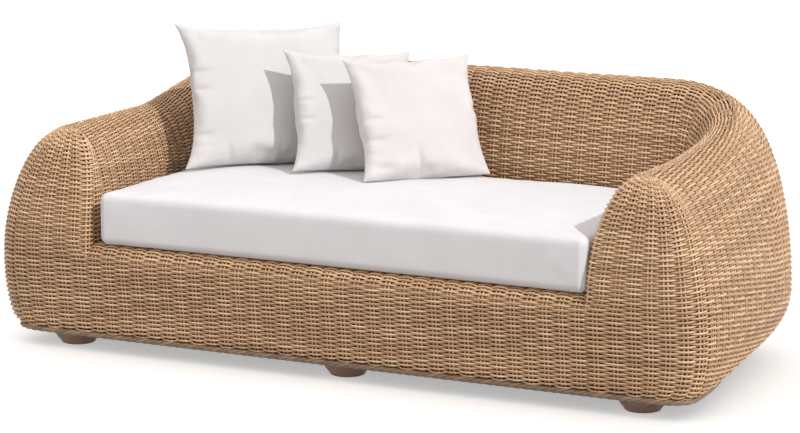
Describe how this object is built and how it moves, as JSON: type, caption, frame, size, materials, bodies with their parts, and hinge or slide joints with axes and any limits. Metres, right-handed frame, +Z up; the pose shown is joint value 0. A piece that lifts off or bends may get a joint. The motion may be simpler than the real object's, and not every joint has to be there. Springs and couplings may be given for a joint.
{
  "type": "rattan garden sofa",
  "caption": "Deep garden sofa with a curved woven shell and low arms on disc feet, with a box seat cushion and loose knife-edge pillows.",
  "frame": {"origin": "on the floor under the middle of the sofa", "axes": "+X along the seat to the sitter's left-hand arm, +Y from the open front to the back, +Z up"},
  "size_m": [2.1014, 1.0074, 0.8648],
  "materials": {
    "tan_wicker": "woven synthetic cane, satin",
    "border_cane": "twisted cane braid, satin",
    "frame_aluminium": "mill finish tube",
    "brown_foot": "moulded, matt",
    "screw_steel": "zinc plated",
    "cover_fabric": "plain woven polyester",
    "cushion_foam": "open cell foam",
    "pillow_fill": "polyester fibre",
    "zip_tape": "woven zip tape and coil"
  },
  "bodies": {
    "sofa_body": {"outer_weave_right": "tan_wicker", "outer_weave_left": "tan_wicker", "outer_weave_back": "tan_wicker", "inner_weave_right": "tan_wicker", "inner_weave_left": "tan_wicker", "inner_weave_back": "tan_wicker", "apron_weave": "tan_wicker", "seat_deck_weave": "tan_wicker", "border_braid": "border_cane", "base_front_rail": "frame_aluminium", "base_right_rail": "frame_aluminium", "base_left_rail": "frame_aluminium", "base_back_rail": "frame_aluminium", "base_cross_right": "frame_aluminium", "base_cross_centre": "frame_aluminium", "base_cross_left": "frame_aluminium", "crest_rail_right": "frame_aluminium", "crest_rail_left": "frame_aluminium", "crest_rail_back": "frame_aluminium", "front_right_post": "frame_aluminium", "front_left_post": "frame_aluminium", "rear_right_post": "frame_aluminium", "rear_left_post": "frame_aluminium", "back_left_post": "frame_aluminium", "back_centre_post": "frame_aluminium", "back_right_post": "frame_aluminium", "seat_front_rail": "frame_aluminium", "seat_rear_rail": "frame_aluminium", "seat_slat_1": "frame_aluminium", "seat_slat_2": "frame_aluminium", "seat_slat_3": "frame_aluminium", "seat_slat_4": "frame_aluminium", "seat_front_leg": "frame_aluminium", "seat_rear_leg": "frame_aluminium", "front_right_foot": "brown_foot", "front_right_foot_screw": "screw_steel", "rear_right_foot": "brown_foot", "rear_right_foot_screw": "screw_steel", "front_centre_foot": "brown_foot", "front_centre_foot_screw": "screw_steel", "rear_centre_foot": "brown_foot", "rear_centre_foot_screw": "screw_steel", "front_left_foot": "brown_foot", "front_left_foot_screw": "screw_steel", "rear_left_foot": "brown_foot", "rear_left_foot_screw": "screw_steel"},
    "seat_cushion": {"seat_cushion_cover": "cover_fabric", "seat_cushion_foam": "cushion_foam", "seat_cushion_zip": "zip_tape"},
    "corner_pillow": {"corner_pillow_cover": "cover_fabric", "corner_pillow_fill": "pillow_fill", "corner_pillow_zip": "zip_tape"},
    "middle_pillow": {"middle_pillow_cover": "cover_fabric", "middle_pillow_fill": "pillow_fill", "middle_pillow_zip": "zip_tape"},
    "front_pillow": {"front_pillow_cover": "cover_fabric", "front_pillow_fill": "pillow_fill", "front_pillow_zip": "zip_tape"}
  },
  "joints": [
    {"name": "seat_cushion_lift", "type": "slide", "parent": "sofa_body", "child": "seat_cushion", "axis": [0, 0, 1], "range_m": [0, 0.45]},
    {"name": "corner_pillow_lift", "type": "slide", "parent": "seat_cushion", "child": "corner_pillow", "axis": [-0.2714, 0.2811, 0.9205], "range_m": [0, 0.3]},
    {"name": "middle_pillow_lift", "type": "slide", "parent": "seat_cushion", "child": "middle_pillow", "axis": [-0.3153, 0.3045, 0.8988], "range_m": [0, 0.3]},
    {"name": "front_pillow_lift", "type": "slide", "parent": "seat_cushion", "child": "front_pillow", "axis": [-0.3546, 0.3306, 0.8746], "range_m": [0, 0.3]}
  ]
}
